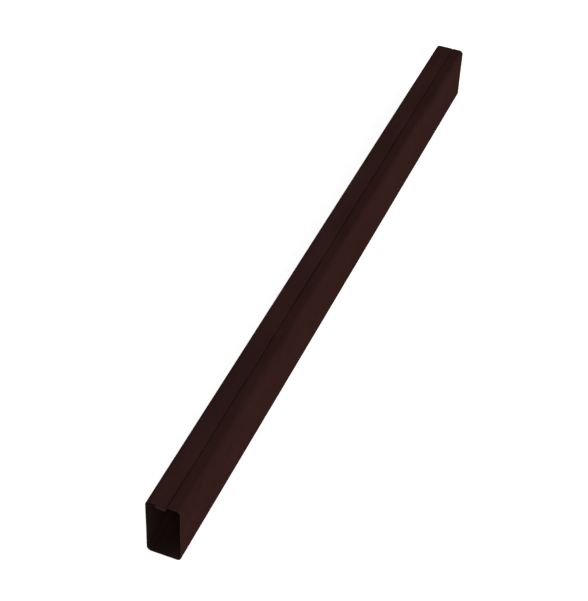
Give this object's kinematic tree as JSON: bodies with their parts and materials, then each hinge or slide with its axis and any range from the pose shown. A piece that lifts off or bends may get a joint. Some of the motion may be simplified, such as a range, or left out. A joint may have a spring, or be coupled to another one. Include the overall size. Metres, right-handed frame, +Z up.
{
  "type": "rectangular downpipe",
  "caption": "Straight rectangular rainwater downpipe folded from one strip of brown coated sheet steel, open at both ends, with a lengthwise lock seam.",
  "frame": {"origin": "middle of the narrow face that the pipe lies on, halfway along its length", "axes": "+X across the narrow face, +Y along the pipe, +Z up towards the narrow face with the lock seam"},
  "size_m": [0.052, 1.253, 0.1],
  "materials": {
    "brown_coated_steel": "matt dark chocolate-brown coil coating on galvanized sheet steel"
  },
  "bodies": {
    "root": {"downpipe": "brown_coated_steel"}
  },
  "joints": []
}
